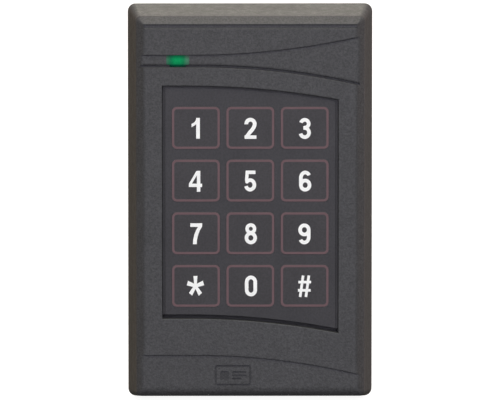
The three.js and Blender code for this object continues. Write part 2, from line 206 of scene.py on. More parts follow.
class Mat:
    """A small builder around one Principled material."""

    def __init__(self, name):
        self.m = bpy.data.materials.new(name)
        self.m.use_nodes = True
        self.nt = self.m.node_tree
        self.nt.nodes.clear()
        out = self.node("ShaderNodeOutputMaterial")
        self.b = self.node("ShaderNodeBsdfPrincipled")
        self.link(self.b.outputs["BSDF"], out.inputs["Surface"])
        self.coord = self.node("ShaderNodeTexCoord").outputs["Object"]
        self.last_bump = None

    def node(self, kind):
        return self.nt.nodes.new(kind)

    def link(self, a, b):
        self.nt.links.new(a, b)

    def set(self, **values):
        names = {"rough": "Roughness", "metal": "Metallic", "ior": "IOR", "spec": "Specular IOR Level",
                 "coat": "Coat Weight", "coat_rough": "Coat Roughness", "sheen": "Sheen Weight",
                 "glow": "Emission Strength", "trans": "Transmission Weight", "alpha": "Alpha"}
        for k, v in values.items():
            self.b.inputs[names[k]].default_value = v

    def noise(self, size_mm, detail=3.0, rough=0.55, stretch=None, distort=0.0):
        vec = self.coord
        if stretch:
            mp = self.node("ShaderNodeMapping")
            mp.inputs["Scale"].default_value = stretch
            self.link(vec, mp.inputs["Vector"])
            vec = mp.outputs["Vector"]
        n = self.node("ShaderNodeTexNoise")
        n.inputs["Scale"].default_value = 1000.0 / size_mm
        n.inputs["Detail"].default_value = detail
        n.inputs["Roughness"].default_value = rough
        n.inputs["Distortion"].default_value = distort
        self.link(vec, n.inputs["Vector"])
        return n.outputs["Fac"]

    def cells(self, size_mm, feature="F1"):
        v = self.node("ShaderNodeTexVoronoi")
        v.feature = feature
        v.inputs["Scale"].default_value = 1000.0 / size_mm
        self.link(self.coord, v.inputs["Vector"])
        return v.outputs["Distance"]

    def math(self, op, a, b):
        n = self.node("ShaderNodeMath")
        n.operation = op
        for i, v in enumerate((a, b)):
            if isinstance(v, (int, float)):
                n.inputs[i].default_value = v
            else:
                self.link(v, n.inputs[i])
        return n.outputs[0]

    def span(self, fac, lo, hi, a=0.3, b=0.7):
        n = self.node("ShaderNodeMapRange")
        for k, v in (("From Min", a), ("From Max", b), ("To Min", lo), ("To Max", hi)):
            n.inputs[k].default_value = v
        self.link(fac, n.inputs["Value"])
        return n.outputs["Result"]

    def ramp(self, fac, stops):
        n = self.node("ShaderNodeValToRGB")
        el = n.color_ramp.elements
        el[0].position, el[0].color = stops[0][0], (*stops[0][1], 1.0)
        el[1].position, el[1].color = stops[-1][0], (*stops[-1][1], 1.0)
        for p, c in stops[1:-1]:
            e = el.new(p)
            e.color = (*c, 1.0)
        self.link(fac, n.inputs["Fac"])
        return n.outputs["Color"]

    def mix(self, fac, a, b):
        n = self.node("ShaderNodeMix")
        n.data_type = "RGBA"
        for sock, v in ((n.inputs[6], a), (n.inputs[7], b)):
            if isinstance(v, tuple):
                sock.default_value = (*v, 1.0)
            else:
                self.link(v, sock)
        self.link(fac, n.inputs[0])
        return n.outputs[2]

    def multiply(self, a, b):
        n = self.node("ShaderNodeMix")
        n.data_type, n.blend_type = "RGBA", "MULTIPLY"
        n.inputs[0].default_value = 1.0
        self.link(a, n.inputs[6])
        self.link(b, n.inputs[7])
        return n.outputs[2]

    def colour(self, sock):
        self.link(sock, self.b.inputs["Base Color"])

    def rough(self, sock):
        self.link(sock, self.b.inputs["Roughness"])

    def bump(self, height, distance_mm, strength=1.0):
        n = self.node("ShaderNodeBump")
        n.inputs["Strength"].default_value = strength
        n.inputs["Distance"].default_value = distance_mm * MM
        self.link(height, n.inputs["Height"])
        if self.last_bump:
            self.link(self.last_bump, n.inputs["Normal"])
        self.last_bump = n.outputs["Normal"]
        for l in list(self.nt.links):
            if l.to_socket == self.b.inputs["Normal"]:
                self.nt.links.remove(l)
        self.link(n.outputs["Normal"], self.b.inputs["Normal"])


def tint(c, k):
    return tuple(min(1.0, v * k) for v in c)


def plastic(name, rgb, rough, grain=0.35, depth=0.02, spread=0.12, rough_spread=0.08, spec=0.5, patches=9.0,
            mottle=0.0, painted_shade_mask=None):
    """Moulded plastic: fine eroded grain, slow colour drift and a few rubbed specks."""
    m = Mat(name)
    fine = m.noise(grain, 4.0, 0.62)
    pits = m.cells(grain * 1.7)
    slow = m.noise(patches, 3.0, 0.55)
    mid = m.noise(grain * 4.5, 3.0, 0.6)
    base = m.ramp(m.span(slow, 0.0, 1.0, 0.32, 0.68), [(0.0, tint(rgb, 1 - spread)), (1.0, tint(rgb, 1 + spread))])
    speck = m.mix(m.span(mid, 0.0, 1.0, 0.35, 0.65), tint(rgb, 1 - spread * 0.8), tint(rgb, 1 + spread * 0.8))
    half = m.node("ShaderNodeMix")
    half.data_type = "RGBA"
    half.inputs[0].default_value = 0.5
    m.link(base, half.inputs[6])
    m.link(speck, half.inputs[7])
    col = half.outputs[2]
    if mottle:
        freckle = m.noise(mottle, 2.5, 0.7)
        gain = m.mix(m.span(freckle, 0.0, 1.0, 0.36, 0.64), (0.70, 0.70, 0.70), (1.30, 1.30, 1.30))
        col = m.multiply(col, gain)
    # Optional mask that multiplies the colour down to 0.62: painted shade in a recess.
    if painted_shade_mask:
        col = m.multiply(col, m.mix(painted_shade_mask(m), (1.0, 1.0, 1.0), (0.62, 0.62, 0.64)))
    m.colour(col)
    m.rough(m.span(mid, rough - rough_spread, rough + rough_spread))
    m.set(spec=spec)
    m.bump(m.math("ADD", fine, m.math("MULTIPLY", pits, 0.6)), depth)
    return m


PX, PZ = -5.3, -51.9               # centre of the pictogram


def pictogram_painted_shade(m):
    """Painted shade mask: 1 inside the pressed pictogram, 0 elsewhere."""
    sep = m.node("ShaderNodeSeparateXYZ")
    m.link(m.coord, sep.inputs["Vector"])
    deep = m.span(sep.outputs["Y"], 0.0, 1.0, -(LOWER - 0.05) * MM, -(LOWER - 0.12) * MM)
    out = deep
    for axis, centre, half in (("X", PX, 6.2), ("Z", PZ, 3.6)):
        off = m.math("ABSOLUTE", m.math("SUBTRACT", sep.outputs[axis], centre * MM), 0.0)
        out = m.math("MULTIPLY", out, m.math("LESS_THAN", off, half * MM))
    return out


COVER_RGB = (0.0475, 0.0472, 0.0500)
M = {}
# The cover colour is darkened inside the pressed pictogram: painted shade in its recess.
M["cover"] = plastic("cover_abs_texture", COVER_RGB, 0.56, grain=0.45, depth=0.05, spread=0.10, mottle=0.52,
                     painted_shade_mask=pictogram_painted_shade)
M["base"] = plastic("base_abs_plain", (0.034, 0.034, 0.036), 0.5, grain=0.5, depth=0.012, spread=0.12)


def film(name, rgb, rough):
    m = Mat(name)
    slow = m.noise(14.0, 2.0, 0.5)
    fine = m.noise(0.18, 3.0, 0.6)
    smear = m.noise(5.0, 4.0, 0.6, stretch=(1.0, 1.0, 0.45))
    freckle = m.mix(m.span(m.noise(0.6, 2.0, 0.6), 0.0, 1.0, 0.36, 0.64), (0.84, 0.84, 0.84), (1.16, 1.16, 1.16))
    sep = m.node("ShaderNodeSeparateXYZ")
    m.link(m.coord, sep.inputs["Vector"])
    # Surfaces further back than y = -17.75 mm (the rim in the gap around the keypad, and the sides and backs of the
    # keys) are darkened to 0.76: painted shade in the gap.
    rim_painted_shade = m.span(sep.outputs["Y"], 0.0, 1.0, -17.90 * MM, -17.75 * MM)
    freckle = m.multiply(freckle, m.mix(rim_painted_shade, (1.0, 1.0, 1.0), (0.76, 0.76, 0.76)))
    m.colour(m.multiply(m.ramp(m.span(slow, 0.0, 1.0, 0.35, 0.65),
                               [(0.0, tint(rgb, 0.93)), (1.0, tint(rgb, 1.07))]), freckle))
    m.rough(m.span(smear, rough - 0.05, rough + 0.07))
    m.set(spec=0.5)
    m.bump(fine, 0.006)
    return m


M["film"] = film("keypad_film_satin", (0.0320, 0.0306, 0.0340), 0.44)
M["key"] = film("key_face_satin", (0.0345, 0.0320, 0.0345), 0.43)


def ink(name, rgb, rough, glow=0.0):
    m = Mat(name)
    fine = m.noise(0.12, 3.0, 0.6)
    slow = m.noise(2.2, 2.0, 0.5)
    m.colour(m.ramp(m.span(slow, 0.0, 1.0, 0.35, 0.65), [(0.0, tint(rgb, 0.95)), (1.0, tint(rgb, 1.03))]))
    m.rough(m.span(fine, rough - 0.05, rough + 0.05))
    # Emission on the ink makes the print glow: painted light.
    if glow:
        m.b.inputs["Emission Color"].default_value = (*rgb, 1.0)
        m.set(glow=glow)
    m.bump(fine, 0.003)
    return m


# The white print glows faintly through emission 0.12: painted light on the characters.
M["white_ink"] = ink("key_ink_white", (0.86, 0.86, 0.85), 0.5, 0.12)
M["red_ink"] = ink("key_ink_red", (0.126, 0.070, 0.078), 0.5)


def lens_material():
    m = Mat("lens_green")
    sep = m.node("ShaderNodeSeparateXYZ")
    m.link(m.coord, sep.inputs["Vector"])
    across = m.span(sep.outputs["X"], 0.0, 1.0, (LENS[0] - LENS[2] / 2) * MM, (LENS[0] + LENS[2] / 2) * MM)
    stops = [(0.0, (0.028, 0.082, 0.055)), (0.06, (0.022, 0.078, 0.048)), (0.19, (0.003, 0.092, 0.038)),
             (0.36, (0.001, 0.150, 0.048)), (0.59, (0.001, 0.150, 0.048)), (0.76, (0.004, 0.108, 0.042)),
             (0.89, (0.034, 0.106, 0.066)), (1.0, (0.036, 0.078, 0.054))]
    c = m.ramp(across, stops)
    streak = m.noise(0.5, 3.0, 0.6, stretch=(1.0, 1.0, 0.2))
    # Colour and glow peak at mid-height and fade towards the top edge and the lower lip over the groove: partly the
    # LED's own glow falling off, partly painted shade under the step above and over the groove.
    lo, hi = 43.0, 46.6
    levels = [(43.0, (0.34, 0.16, 0.26)), (43.3, (0.42, 0.22, 0.34)), (43.6, (0.42, 0.22, 0.34)),
              (43.8, (0.56, 0.48, 0.54)), (44.1, (0.74, 0.72, 0.74)), (44.35, (0.82, 0.76, 0.78)),
              (44.7, (0.94, 0.90, 0.90)), (45.05, (1.0, 0.95, 0.95)), (45.55, (0.95, 0.86, 0.88)),
              (45.9, (0.84, 0.60, 0.66)), (46.25, (0.70, 0.43, 0.52)), (46.6, (0.60, 0.36, 0.46))]
    glow_fade_and_shade = m.ramp(m.span(sep.outputs["Z"], 0.0, 1.0, lo * MM, hi * MM),
                  [((z - lo) / (hi - lo), c) for z, c in levels])
    c = m.multiply(c, glow_fade_and_shade)
    m.colour(m.mix(m.span(streak, 0.55, 0.75), c, (0.001, 0.020, 0.008)))
    m.link(c, m.b.inputs["Emission Color"])
    m.set(glow=1.5, spec=0.08, ior=1.49)
    m.rough(m.span(m.noise(0.6), 0.22, 0.34))
    m.bump(m.noise(0.8, 2.0), 0.008)
    return m


M["lens"] = lens_material()


def laminate():
    m = Mat("circuit_laminate")
    brick = m.node("ShaderNodeTexBrick")
    brick.inputs["Scale"].default_value = 220.0
    brick.inputs["Mortar Size"].default_value = 0.012
    brick.inputs["Brick Width"].default_value = 1.1
    brick.inputs["Row Height"].default_value = 0.32
    mp = m.node("ShaderNodeMapping")
    mp.inputs["Rotation"].default_value = (math.pi / 2, 0.0, 0.0)
    m.link(m.coord, mp.inputs["Vector"])
    m.link(mp.outputs["Vector"], brick.inputs["Vector"])
    brick.inputs["Color1"].default_value = (0.010, 0.088, 0.030, 1)
    brick.inputs["Color2"].default_value = (0.014, 0.110, 0.038, 1)
    brick.inputs["Mortar"].default_value = (0.024, 0.170, 0.062, 1)
    weave = m.noise(0.7, 2.0)
    m.colour(m.mix(m.span(weave, 0.0, 0.3), brick.outputs["Color"], (0.006, 0.06, 0.02)))
    m.rough(m.span(m.noise(2.0), 0.24, 0.40))
    m.bump(brick.outputs["Fac"], 0.03, 0.6)
    return m


M["laminate"] = laminate()


def winding():
    m = Mat("coil_wire_enamel")
    w = m.node("ShaderNodeTexWave")
    w.wave_type, w.bands_direction = "BANDS", "Y"
    w.inputs["Scale"].default_value = 1000.0 / 0.22 / 6.2832 * 2
    w.inputs["Distortion"].default_value = 0.6
    w.inputs["Detail"].default_value = 1.0
    m.link(m.coord, w.inputs["Vector"])
    # Each turn is dark at its edges and bright at its crown: painted shade between the turns and painted highlight on
    # the crowns.
    m.colour(m.ramp(w.outputs["Fac"], [(0.0, (0.16, 0.045, 0.015)), (1.0, (0.62, 0.24, 0.10))]))
    m.set(metal=0.85)
    m.rough(m.span(m.noise(0.6), 0.25, 0.4))
    m.bump(w.outputs["Fac"], 0.06)
    return m


M["coil"] = winding()


def metal(name, rgb, rough, stretch=(1, 1, 1)):
    m = Mat(name)
    brush = m.noise(0.35, 3.0, 0.6, stretch=stretch)
    m.colour(m.ramp(brush, [(0.3, tint(rgb, 0.85)), (0.7, tint(rgb, 1.1))]))
    m.set(metal=1.0)
    m.rough(m.span(brush, rough - 0.06, rough + 0.1))
    m.bump(brush, 0.006)
    return m


M["dome"] = metal("dome_spring_steel", (0.62, 0.62, 0.63), 0.26)
M["screw"] = metal("screw_zinc", (0.56, 0.57, 0.58), 0.32, (1, 1, 3))
M["can"] = metal("can_drawn_metal", (0.60, 0.61, 0.62), 0.34, (0.3, 2, 0.3))
M["chip"] = plastic("chip_epoxy", (0.012, 0.012, 0.013), 0.5, grain=0.3, depth=0.01)
M["resin"] = plastic("potting_resin", (0.010, 0.011, 0.014), 0.18, grain=2.5, depth=0.05, rough_spread=0.05)
M["former"] = plastic("former_nylon", (0.62, 0.56, 0.44), 0.5, grain=0.6, depth=0.01, spread=0.06)
M["nylon"] = plastic("connector_nylon", (0.74, 0.70, 0.60), 0.45, grain=0.6, depth=0.008, spread=0.05)


def foam():
    m = Mat("gasket_foam_cells")
    pores = m.cells(0.55)
    # Pore centres are darker than their rims: painted shade in the pores.
    m.colour(m.ramp(pores, [(0.0, (0.008, 0.008, 0.008)), (0.6, (0.03, 0.03, 0.031))]))
    m.rough(m.span(m.noise(0.8), 0.85, 0.98))
    m.bump(pores, 0.12)
    return m


M["foam"] = foam()
M["carrier"] = plastic("carrier_abs_plain", (0.062, 0.061, 0.063), 0.5, grain=0.5, depth=0.012, spread=0.12)
M["rubber"] = plastic("grommet_rubber", (0.014, 0.014, 0.015), 0.72, grain=0.4, depth=0.02)


def paint(ob, key):
    ob.data.materials.clear()
    ob.data.materials.append(M[key].m)


# ------------------------------------------------------------------ front cover

GX, GZ, RC = HX - 0.20, HZ - 0.20, 1.5     # outline of the structured face grid


def edge_drop(d, r):
    return 0.0 if d >= r else r - math.sqrt(max(0.0, r * r - (r - d) ** 2))


def smin(a, b, k):
    h = max(k - abs(a - b), 0.0)
    return min(a, b) - h * h / (4.0 * k)


C8, C9 = 54.85, 56.05


def c2(x): return cz(LOWER_EDGE, x)
def c3(x): return cz(PAD_BOTTOM, x) - 0.70
def c4(x): return cz(PAD_TOP, x) + 0.27
def c5(x): return cz(BAND_BOTTOM, x) - 0.80
def c6(x): return cz(BAND_BOTTOM, x) - 0.02
def c7(x): return cz(BAND_TOP, x)
def c8(x): return C8
def c9(x): return C9


OPEN_X = 26.88


def opening_distance(x, z):
    dx = abs(x) - OPEN_X
    dz = max(c3(x) - z, z - c4(x))
    if dx <= 0:
        return dz
    return dx if dz <= 0 else math.hypot(dx, dz)


def height(x, z):
    e, r = 1e-6, R_EDGE
    ax = abs(x)
    chx = SHOULDER + (HX - ax) * (2.0 / 2.6)
    chz = SHOULDER + (HZ - abs(z)) * (2.0 / 2.5 if z > 0 else 1.5 / 1.45)
    ch = smin(chx, chz, 0.10)
    reveal = ax < 32.49
    if reveal and z > C9 - e:
        return ch - edge_drop(z - C9, 0.25)
    if reveal and z > C8 + e:
        plate = 18.15
    elif z >= c7(x) - e:
        plate = FACE - edge_drop(z - c7(x), r) - (edge_drop(C8 - z, r) if reveal else 0.0)
    elif z >= c6(x) - e:
        plate = BAND - (edge_drop(z - c6(x), 0.08) if ax < 33.4 else 0.0)
    elif z > c5(x) + e:
        plate = BAND - 1.25 if ax < 33.4 else BAND
    elif z >= c2(x) - e:
        plate = (FACE - edge_drop(z - c2(x), r) - edge_drop(c5(x) - z, R_SOFT)
                 - edge_drop(max(opening_distance(x, z), 0.0), r))
    else:
        plate = LOWER - 0.12 * max(0.0, -z - 55.5) ** 2
    k = 0.5 - 0.05 * min(1.0, max(0.0, (-z - 54.5) / 1.2))
    return smin(plate, ch, k)


def build_cover():
    r = R_EDGE
    arc = [0.0, 0.076 * r, 0.293 * r, 0.617 * r, r]
    const = lambda v: (lambda x: v)
    rows, mark = [], {}

    def add(f, dz=0.0, name=None):
        if name:
            mark[name] = len(rows)
        rows.append((f, dz))

    def fill(n, fa, da, fb, db):
        for i in range(1, n + 1):
            t = i / (n + 1)
            rows.append(((lambda x, t=t: (fa(x) + da) * (1 - t) + (fb(x) + db) * t), 0.0))

    for z in (-GZ, -58.0, -57.7, -57.45, -57.25, -57.05, -56.85, -56.6, -56.3, -55.95, -55.5, -55.0):
        add(const(z))
    fill(3, const(-55.0), 0, c2, -0.4)
    for d in (-0.4, -0.15, -0.03):
        add(c2, d)
    for d in arc:
        add(c2, d)
    add(c2, r + 0.2)
    fill(5, c2, r + 0.2, c3, -r - 0.2)
    add(c3, -r - 0.2)
    for d in reversed(arc):
        add(c3, -d, "open_lo" if d == 0.0 else None)
    fill(16, c3, 0, c4, 0)
    for i, d in enumerate(arc):
        add(c4, d, "open_hi" if i == 0 else None)
    add(c4, r + 0.2)
    fill(2, c4, r + 0.2, c5, -r - 0.2)
    add(c5, -r - 0.2)
    for d in (R_SOFT, 0.617 * R_SOFT, 0.293 * R_SOFT, 0.076 * R_SOFT, 0.0):
        add(c5, -d)
    for f, d in ((c5, 0.03), (c5, 0.2), (c6, -0.2), (c6, -0.03), (c6, 0.0), (c6, 0.025), (c6, 0.08)):
        add(f, d)
    add(c6, 0.62, "lens_lo")
    fill(4, c6, 0.62, c7, -0.12)
    add(c7, -0.12, "lens_hi")
    add(c7, -0.03)
    for d in arc:
        add(c7, d)
    add(c7, r + 0.2)
    fill(2, c7, r + 0.2, c8, -r - 0.2)
    add(c8, -r - 0.2)
    for d in reversed(arc):
        add(c8, -d)
    for f, d in ((c8, 0.03), (c8, 0.25), (c9, -0.25), (c9, -0.03), (c9, 0.0), (c9, 0.06), (c9, 0.25)):
        add(f, d)
    for z in (56.3, 56.6, 56.9, 57.2, 57.5, 57.8, 58.05, GZ):
        add(const(z))

    outer_x = [OPEN_X + d for d in arc] + [OPEN_X + r + 0.2, 28.2, 29.2, 30.2, 31.0, 31.4, 31.65, 31.9, 32.12, 32.32,
                                           32.48, 32.50, 32.68, 32.88, 33.08, 33.26, 33.39, 33.41, 33.54,
                                           33.78, 34.02, 34.26, 34.5, GX]
    lx0, lx1 = LENS[0] - LENS[2] / 2 + 0.05, LENS[0] + LENS[2] / 2 - 0.05
    inside = sorted([lx0, lx1] + [x for x in np.linspace(-OPEN_X, OPEN_X, 43)[1:-1]
                                  if min(abs(x - lx0), abs(x - lx1)) > 0.35])
    xs = [-x for x in reversed(outer_x)] + list(inside) + outer_x
    nc, nr = len(xs), len(rows)

    verts = []
    ox, oz = GX - RC, GZ - RC

    def zof(j, x):
        f, d = rows[j]
        return f(x) + d

    def corner(x, z):
        a, b = abs(x) - ox, abs(z) - oz
        if a > 0 and b > 0:
            k = max(a, b) / math.hypot(a, b)
            return math.copysign(ox + a * k, x), math.copysign(oz + b * k, z)
        return x, z

    flat = {}
    for j in range(nr):
        for i, x in enumerate(xs):
            z = zof(j, x)
            flat[i, j] = (x, z)
            px, pz = corner(x, z)
            verts.append((px, -height(x, z), pz))

    def squeeze(v, a, b, top):
        s = abs(v)
        return v if s <= a else math.copysign(a + (s - a) * (top - a) / (b - a), v)

    base = len(verts)
    for j in range(nr):
        for i, x in enumerate(xs):
            z = flat[i, j][1]
            verts.append((squeeze(x, 28.0, GX, 32.6), -INNER, squeeze(z, 48.0, GZ, 56.1)))

    O = lambda i, j: j * nc + i
    I = lambda i, j: base + j * nc + i
    col = {round(x, 4): i for i, x in enumerate(xs)}
    pa, pb = col[round(-OPEN_X, 4)], col[round(OPEN_X, 4)]
    la, lb = col[round(lx0, 4)], col[round(lx1, 4)]

    def hole(i, j):
        return (pa <= i < pb and mark["open_lo"] <= j < mark["open_hi"]) or \
               (la <= i < lb and mark["lens_lo"] <= j < mark["lens_hi"])

    faces = []
    for j in range(nr - 1):
        for i in range(nc - 1):
            if hole(i, j):
                continue
            faces.append((O(i, j), O(i + 1, j), O(i + 1, j + 1), O(i, j + 1)))
            faces.append((I(i, j + 1), I(i + 1, j + 1), I(i + 1, j), I(i, j)))
            for (a, b, ni, nj) in (((i, j), (i + 1, j), i, j - 1), ((i + 1, j), (i + 1, j + 1), i + 1, j),
                                   ((i + 1, j + 1), (i, j + 1), i, j + 1), ((i, j + 1), (i, j), i - 1, j)):
                if 0 <= ni < nc - 1 and 0 <= nj < nr - 1 and hole(ni, nj):
                    faces.append((O(*b), O(*a), I(*a), I(*b)))

    loop = [(i, 0) for i in range(nc)] + [(nc - 1, j) for j in range(1, nr)] + \
           [(i, nr - 1) for i in range(nc - 2, -1, -1)] + [(0, j) for j in range(nr - 2, 0, -1)]

    def ring(hx, hz, rr, y):
        out = []
        for (i, j) in loop:
            x, z = flat[i, j]
            a, b = abs(x) - ox, abs(z) - oz
            if a > -1e-9 and b > -1e-9:
                L = math.hypot(a, b) or 1.0
                p = (math.copysign(hx - rr + rr * a / L, x), -y, math.copysign(hz - rr + rr * b / L, z))
            elif abs(x) > GX - 1e-6:
                p = (math.copysign(hx, x), -y, z * (hz - rr) / oz)
            else:
                p = (x * (hx - rr) / ox, -y, math.copysign(hz, z))
            verts.append(p)
            out.append(len(verts) - 1)
        return out

    slope_x, slope_z = (BX - HX) / (SHOULDER - RIM), (BZ - HZ) / (SHOULDER - RIM)
    draft = lambda y, inset=0.0: (HX + (SHOULDER - y) * slope_x - inset, HZ + (SHOULDER - y) * slope_z - inset)
    ax_, az_ = GX, GZ
    ya = SHOULDER + 0.2 * (2.0 / 2.6)
    bx_, bz_ = draft(SHOULDER - 0.24)
    rings = []
    for t in (0.3, 0.55, 0.8):
        q = lambda a, c, b: (1 - t) ** 2 * a + 2 * t * (1 - t) * c + t * t * b
        rings.append((q(ax_, HX, bx_), q(az_, HZ, bz_), q(RC, 1.6, 1.6), q(ya, SHOULDER, SHOULDER - 0.24)))
    rings.append((bx_, bz_, 1.6, SHOULDER - 0.24))
    for y in (16.3, 14.0, 11.5, 9.0, 6.5, 4.0, 2.0, 0.8):
        rings.append((*draft(y), 1.6 + (SHOULDER - y) / SHOULDER * (RB - 1.6), y))
    rings += [(*draft(0.5), RB, 0.5), (*draft(0.36, 0.04), RB, 0.36), (*draft(RIM, 0.14), RB, RIM)]
    inner = lambda y: (35.45 - y * 0.15, 58.70 - y * 0.1353)
    rings += [(*inner(0.3), 0.9, RIM), (*inner(0.5), 0.8, 0.5)]
    for y in (3.0, 7.0, 11.0, 14.5, 16.0):
        rings.append((*inner(y), 0.7, y))
    rings.append((32.78, 56.30, 0.5, 16.3))

    prev = [O(i, j) for (i, j) in loop]
    for spec in rings:
        cur = ring(*spec)
        for k in range(len(loop)):
            n = (k + 1) % len(loop)
            faces.append((prev[n], prev[k], cur[k], cur[n]))
        prev = cur
    last = [I(i, j) for (i, j) in loop]
    for k in range(len(loop)):
        n = (k + 1) % len(loop)
        faces.append((prev[n], prev[k], last[k], last[n]))

    ob = mesh_object("cover_shell", verts, faces)
    clean(ob, 2e-5)
    return ob


cover = build_cover()
# Tongues inside the top wall that hook over the base plate.
for n, x in enumerate((-20.0, 20.0)):
    boolean(cover, slab(f"tongue_{n}", [round_rect(4.5, 1.1, 0.3, 3, x, 58.1)], 1.8, 1.2, 0.12, 2), "UNION")


# A plain card pictogram pressed into the lower area.
ICON_FRONT, ICON_THICK = LOWER + 0.9, 1.20
icon = [
    slab("icon_card", [round_rect(5.6, 3.2, 0.9, 6, PX, PZ), round_rect(5.0, 2.6, 0.5, 6, PX, PZ)[::-1]], ICON_FRONT, ICON_THICK),
    slab("icon_patch", [round_rect(1.25, 1.35, 0.3, 4, PX - 2.6, PZ)], ICON_FRONT, ICON_THICK),
]
for n, (dz, half) in enumerate(((1.0, 2.2), (0.0, 2.2), (-1.0, 1.4))):
    icon.append(slab(f"icon_line_{n}", [round_rect(half, 0.27, 0.2, 4, PX - 0.3 + half, PZ + dz)], ICON_FRONT, ICON_THICK))
boolean(cover, join(icon, "icon_cutter"), "DIFFERENCE")
clean(cover, 2e-5)
shade(cover, 32.0)
to_metres(cover)
paint(cover, "cover")
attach(cover, "cover")
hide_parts("front_cover")


# ------------------------------------------------------------------ light pipe

def build_lens():
    x, z, w, h = LENS
    top, foot = z + h / 2, 43.68
    front = slab("lens_cap", [round_rect(w / 2, (top - foot) / 2, 0.35, 6, x, (top + foot) / 2)], BAND + 0.24, 0.22, 0.1, 3)
    # The lower lip rolls over the edge of the band into the groove.
    lip = [(18.60, 44.00), (18.60, 43.78), (18.42, 43.56), (18.10, 43.22), (17.80, 43.02), (17.32, 43.02),
           (17.32, 43.66), (18.49, 43.66), (18.49, 44.00)]
    n, a, b = len(lip), x - w / 2 + 1.0, x + w / 2 - 1.0
    verts = [(a, -y, v) for y, v in lip] + [(b, -y, v) for y, v in lip]
    sides = [(k, (k + 1) % n, n + (k + 1) % n, n + k) for k in range(n)]
    lip = mesh_object("lens_lip", verts, sides + [tuple(range(n))[::-1], tuple(range(n, 2 * n))])
    clean(lip, 1e-5)
    boolean(front, lip, "UNION")
    neck = slab("lens_neck", [round_rect(w / 2 - 0.1, 1.05, 0.25, 5, x, 45.30)], BAND + 0.1, 2.8, 0.0)
    boolean(front, neck, "UNION")
    body = slab("lens_flange", [round_rect(w / 2 + 0.95, h / 2 + 0.75, 0.6, 4, x, z)], 16.05, 0.85, 0.12, 2)
    stem = slab("lens_stem", [round_rect(2.4, 1.0, 0.4, 4, x, z)], 15.3, 4.6, 0.15, 2)
    boolean(front, body, "UNION")
    boolean(front, stem, "UNION")
    front.name = front.data.name = "light_pipe"
    clean(front, 2e-5)
    weigh(front)
    return to_metres(front)


pipe = build_lens()
paint(pipe, "lens")
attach(pipe, "cover")
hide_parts("led_lens")


# ------------------------------------------------------------------ keypad face

def curve_line(c, x0, x1, dz, n=28):
    pts = [(x0, cz(c, x0) + dz)]
    s = max(x0, c[1])
    for i in range(n + 1):
        x = s + (x1 - s) * i / n
        if x - pts[-1][0] > 1e-6:
            pts.append((x, cz(c, x) + dz))
    return pts


PAD_X = 26.0
RIM_X = OPEN_X - 0.10
pad_loop = curve_line(PAD_BOTTOM, -PAD_X, PAD_X, 0.50) + curve_line(PAD_TOP, -PAD_X, PAD_X, -0.55)[::-1]
rim_loop = curve_line(PAD_BOTTOM, -RIM_X, RIM_X, 0.47) + curve_line(PAD_TOP, -RIM_X, RIM_X, 0.20)[::-1]
windows = [round_rect(7.435, 6.555, 1.62, 8, x, z)[::-1] for _, x, z in CELLS]
face = slab("keypad_face", [pad_loop], RECESS, 0.76, 0.09, 3)
boolean(face, slab("keypad_rim", [rim_loop], 17.60, 0.16, 0.03, 2), "UNION")
boolean(face, slab("keypad_windows", windows, 19.5, 4.0), "DIFFERENCE")
clean(face, 2e-5)
bm = bmesh.new()
bm.from_mesh(face.data)
bmesh.ops.remove_doubles(bm, verts=bm.verts, dist=5e-4)
bmesh.ops.holes_fill(bm, edges=[e for e in bm.edges if e.is_boundary], sides=8)
bm.to_mesh(face.data)
bm.free()
weigh(face)
to_metres(face)
paint(face, "film")
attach(face, "base")
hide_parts("keypad_overlay")


# ------------------------------------------------------------------ characters

GX_, GZ_ = np.meshgrid(np.arange(-3.0, 3.0001, 0.03), np.arange(-4.0, 4.0001, 0.03))


def d_box(x0, x1, z0, z1):
    qx = np.abs(GX_ - (x0 + x1) / 2) - (x1 - x0) / 2
    qz = np.abs(GZ_ - (z0 + z1) / 2) - (z1 - z0) / 2
    return np.hypot(np.maximum(qx, 0), np.maximum(qz, 0)) + np.minimum(np.maximum(qx, qz), 0)


def d_path(points, half, cut_start=True, cut_end=True):
    d = np.full(GX_.shape, 1e9)
    for (x0, z0), (x1, z1) in zip(points[:-1], points[1:]):
        dx, dz = x1 - x0, z1 - z0
        L2 = dx * dx + dz * dz
        if L2 < 1e-12:
            continue
        t = np.clip(((GX_ - x0) * dx + (GZ_ - z0) * dz) / L2, 0, 1)
        d = np.minimum(d, np.hypot(GX_ - x0 - t * dx, GZ_ - z0 - t * dz))
    d = d - half
    for on, p, q in ((cut_start, points[0], points[1]), (cut_end, points[-1], points[-2])):
        if on:
            ux, uz = p[0] - q[0], p[1] - q[1]
            L = math.hypot(ux, uz)
            plane = ((GX_ - p[0]) * ux + (GZ_ - p[1]) * uz) / L
            near = np.hypot(GX_ - p[0], GZ_ - p[1]) < half * 1.3
            d = np.where(near & (plane > -0.05), np.maximum(d, plane), d)
    return d


def d_poly(points):
    d = np.full(GX_.shape, 1e9)
    inside = np.zeros(GX_.shape, bool)
    n = len(points)
    for k in range(n):
        x0, z0 = points[k]
        x1, z1 = points[(k + 1) % n]
        dx, dz = x1 - x0, z1 - z0
        t = np.clip(((GX_ - x0) * dx + (GZ_ - z0) * dz) / (dx * dx + dz * dz), 0, 1)
        d = np.minimum(d, np.hypot(GX_ - x0 - t * dx, GZ_ - z0 - t * dz))
        if z0 != z1:
            hit = ((z0 > GZ_) != (z1 > GZ_)) & (GX_ < (x1 - x0) * (GZ_ - z0) / (z1 - z0) + x0)
            inside ^= hit
    return np.where(inside, -d, d)


def arc_path(cx, cz_, rx, rz, a0, a1, n=28):
    return [(cx + rx * math.cos(math.radians(a)), cz_ + rz * math.sin(math.radians(a)))
            for a in np.linspace(a0, a1, n)]


def union(*ds):
    out = ds[0]
    for d in ds[1:]:
        out = np.minimum(out, d)
    return out


W = 0.63


